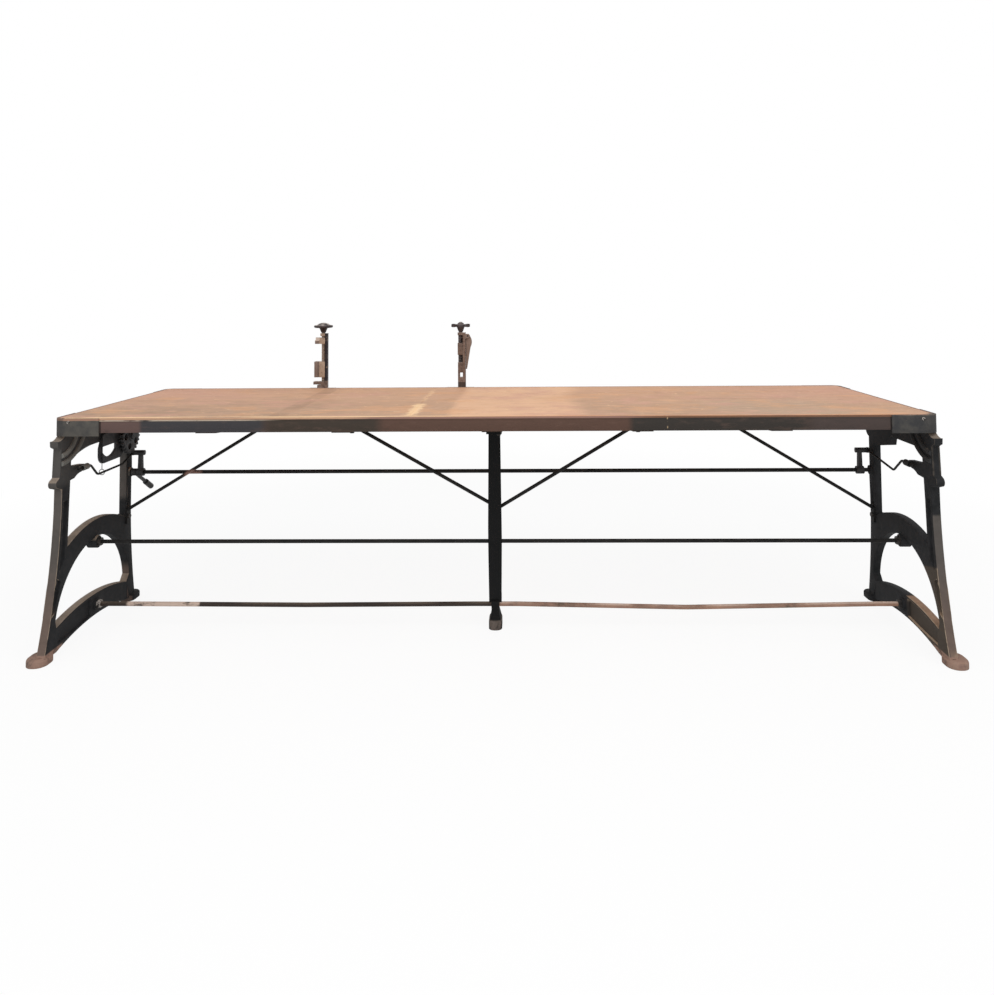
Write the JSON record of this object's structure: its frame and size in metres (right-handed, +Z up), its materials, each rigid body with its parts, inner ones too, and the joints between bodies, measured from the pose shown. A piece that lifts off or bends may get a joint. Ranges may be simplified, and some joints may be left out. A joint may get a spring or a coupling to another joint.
{
  "type": "cast iron framed work table",
  "caption": "Long old work table: wooden plank top with banded edge, openwork cast iron end frames, braced rods, a rocking shaft and screw posts at the rear.",
  "frame": {"origin": "On the floor under the middle of the bounding box.", "axes": "X runs along the table to the viewer's right, Y from the front edge to the rear posts, Z up."},
  "size_m": [3.072, 1.024, 1.089],
  "materials": {
    "top_wood": "oiled boards, worn and stained",
    "batten_wood": "dark raw timber",
    "edge_band": "worn dark paint",
    "cap_iron": "dull dark paint",
    "frame_iron": "dark paint with dust",
    "rod_iron": "black paint",
    "rusty_rod": "rusted bare steel",
    "gear_iron": "dark greasy iron",
    "grip_wood": "dark handled wood",
    "post_iron": "worn brown iron",
    "spindle_steel": "oiled dark steel",
    "fastener_steel": "dull bare steel"
  },
  "bodies": {
    "bench": {"plank_left_1": "top_wood", "plank_left_2": "top_wood", "plank_left_3": "top_wood", "plank_left_4": "top_wood", "plank_right_1": "top_wood", "plank_right_2": "top_wood", "plank_right_3": "top_wood", "plank_right_4": "top_wood", "centre_bearer": "batten_wood", "inner_batten_left": "batten_wood", "inner_batten_right": "batten_wood", "outer_batten_left": "batten_wood", "outer_batten_right": "batten_wood", "front_edge_strip": "edge_band", "rear_edge_strip": "edge_band", "left_edge_strip": "edge_band", "right_edge_strip": "edge_band", "corner_cap_front_left": "cap_iron", "corner_cap_front_right": "cap_iron", "corner_cap_rear_left": "cap_iron", "corner_cap_rear_right": "cap_iron", "left_frame": "frame_iron", "right_frame": "frame_iron", "centre_leg": "frame_iron", "middle_tie_rod": "rod_iron", "brace_left_outer": "rod_iron", "brace_left_inner": "rod_iron", "brace_right_inner": "rod_iron", "brace_right_outer": "rod_iron", "hanger_wire": "rod_iron", "lower_tie_rod_left": "rusty_rod", "lower_tie_rod_right": "rusty_rod", "wheel_stud": "gear_iron", "hook_strap": "gear_iron", "left_post_frame": "post_iron", "left_post_stop": "post_iron", "right_post_frame": "post_iron", "right_post_pin": "spindle_steel", "cap_screws": "fastener_steel", "batten_screws": "fastener_steel", "frame_screws": "fastener_steel", "leg_screws": "fastener_steel", "brace_screws": "fastener_steel", "post_bolts": "fastener_steel", "tie_rod_nuts": "fastener_steel", "brace_bolts": "fastener_steel"},
    "rock": {"rock_shaft": "rod_iron", "rock_lever_left": "gear_iron", "rock_lever_right": "gear_iron", "hand_lever": "gear_iron", "hand_grip": "grip_wood"},
    "left_pull": {"pull_rod_left": "rod_iron"},
    "right_pull": {"pull_rod_right": "rod_iron"},
    "wheel": {"toothed_wheel": "gear_iron"},
    "left_screw": {"left_post_spindle": "spindle_steel"},
    "left_carriage": {"left_post_block": "post_iron"},
    "right_screw": {"right_post_spindle": "spindle_steel"},
    "right_carriage": {"right_post_block": "post_iron"},
    "side_lever": {"right_post_lever": "post_iron"}
  },
  "joints": [
    {"name": "rock_turn", "type": "hinge", "parent": "bench", "child": "rock", "pos_m": [0, 0.062, 0.511], "axis": [1, 0, 0], "range_deg": [-10, 10]},
    {"name": "left_pull_pivot", "type": "hinge", "parent": "rock", "child": "left_pull", "pos_m": [-1.46, 0.062, 0.588], "axis": [1, 0, 0], "range_deg": [-10, 10]},
    {"name": "right_pull_pivot", "type": "hinge", "parent": "rock", "child": "right_pull", "pos_m": [1.46, 0.062, 0.588], "axis": [1, 0, 0], "range_deg": [-10, 10]},
    {"name": "wheel_turn", "type": "hinge", "parent": "bench", "child": "wheel", "pos_m": [-1.449, 0.013, 0.665], "axis": [1, 0, 0], "continuous": true},
    {"name": "left_screw_turn", "type": "hinge", "parent": "bench", "child": "left_screw", "pos_m": [-0.797, 0.47, 0.95], "axis": [0, 0, 1], "range_deg": [-900, 4500]},
    {"name": "left_block_slide", "type": "slide", "parent": "bench", "child": "left_carriage", "axis": [0, 0, 1], "range_m": [-0.015, 0.075]},
    {"name": "right_screw_turn", "type": "hinge", "parent": "bench", "child": "right_screw", "pos_m": [-0.175, 0.47, 0.98], "axis": [0, 0, 1], "range_deg": [-1800, 1800]},
    {"name": "right_block_slide", "type": "slide", "parent": "bench", "child": "right_carriage", "axis": [0, 0, 1], "range_m": [-0.03, 0.03]},
    {"name": "side_lever_swing", "type": "hinge", "parent": "bench", "child": "side_lever", "pos_m": [-0.143, 0.4705, 1.025], "axis": [0, -1, 0], "range_deg": [0, 35]}
  ],
  "couplings": [
    {"joint": "left_pull_pivot", "follows": "rock_turn", "ratio": -1},
    {"joint": "right_pull_pivot", "follows": "rock_turn", "ratio": -1},
    {"joint": "left_block_slide", "follows": "left_screw_turn", "m_per_rad": 0.0009549},
    {"joint": "right_block_slide", "follows": "right_screw_turn", "m_per_rad": 0.0009549}
  ]
}
